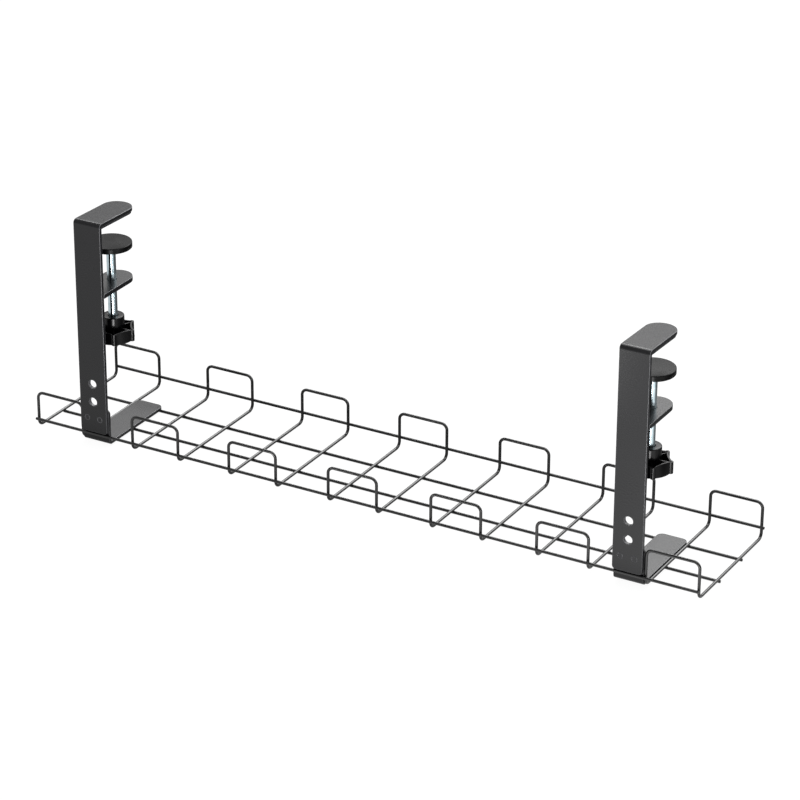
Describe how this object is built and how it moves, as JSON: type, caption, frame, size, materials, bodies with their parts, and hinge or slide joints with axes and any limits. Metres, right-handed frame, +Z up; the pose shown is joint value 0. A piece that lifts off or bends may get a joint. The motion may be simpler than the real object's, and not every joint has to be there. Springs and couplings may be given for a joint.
{
  "type": "under-desk cable tray",
  "caption": "Shallow welded wire tray for cables, hung under a desk edge from two C-shaped screw clamps with star knobs.",
  "frame": {"origin": "middle of the bounding box, at the underside of the tray's floor rails", "axes": "+X along the tray, +Z up, -Y towards the clamps' flat posts, +Y towards the tray's back lip"},
  "size_m": [0.7802, 0.1586, 0.2567],
  "materials": {
    "powder_coat": "satin black powder coat",
    "zinc_plate": "bright zinc plate",
    "black_plastic": "semi-gloss moulded black plastic",
    "black_rubber": "matt black anti-slip rubber"
  },
  "bodies": {
    "tray": {"hoop_wire_1": "powder_coat", "hoop_wire_2": "powder_coat", "hoop_wire_3": "powder_coat", "hoop_wire_4": "powder_coat", "hoop_wire_5": "powder_coat", "hoop_wire_6": "powder_coat", "hoop_wire_7": "powder_coat", "front_rail": "powder_coat", "floor_rail_front": "powder_coat", "floor_rail_back": "powder_coat", "back_rail": "powder_coat", "left_post": "powder_coat", "left_top_pad": "black_rubber", "left_lower_jaw": "powder_coat", "left_tray_bracket": "powder_coat", "right_post": "powder_coat", "right_top_pad": "black_rubber", "right_lower_jaw": "powder_coat", "right_tray_bracket": "powder_coat"},
    "left_disc": {"left_pad_disc": "black_plastic"},
    "left_turning_screw": {"left_screw": "zinc_plate", "left_star_knob": "black_plastic"},
    "right_disc": {"right_pad_disc": "black_plastic"},
    "right_turning_screw": {"right_screw": "zinc_plate", "right_star_knob": "black_plastic"}
  },
  "joints": [
    {"name": "left_clamp_slide", "type": "slide", "parent": "tray", "child": "left_disc", "axis": [0, 0, 1], "range_m": [-0.0363, 0.0274]},
    {"name": "left_screw_turn", "type": "hinge", "parent": "left_disc", "child": "left_turning_screw", "pos_m": [-0.31345, -0.0365, 0.2142], "axis": [0, 0, 1], "continuous": true},
    {"name": "right_clamp_slide", "type": "slide", "parent": "tray", "child": "right_disc", "axis": [0, 0, 1], "range_m": [-0.0363, 0.0274]},
    {"name": "right_screw_turn", "type": "hinge", "parent": "right_disc", "child": "right_turning_screw", "pos_m": [0.31345, -0.0365, 0.2142], "axis": [0, 0, 1], "continuous": true}
  ],
  "couplings": [
    {"joint": "left_screw_turn", "follows": "left_clamp_slide", "rad_per_m": 4188.8},
    {"joint": "right_screw_turn", "follows": "right_clamp_slide", "rad_per_m": 4188.8}
  ]
}
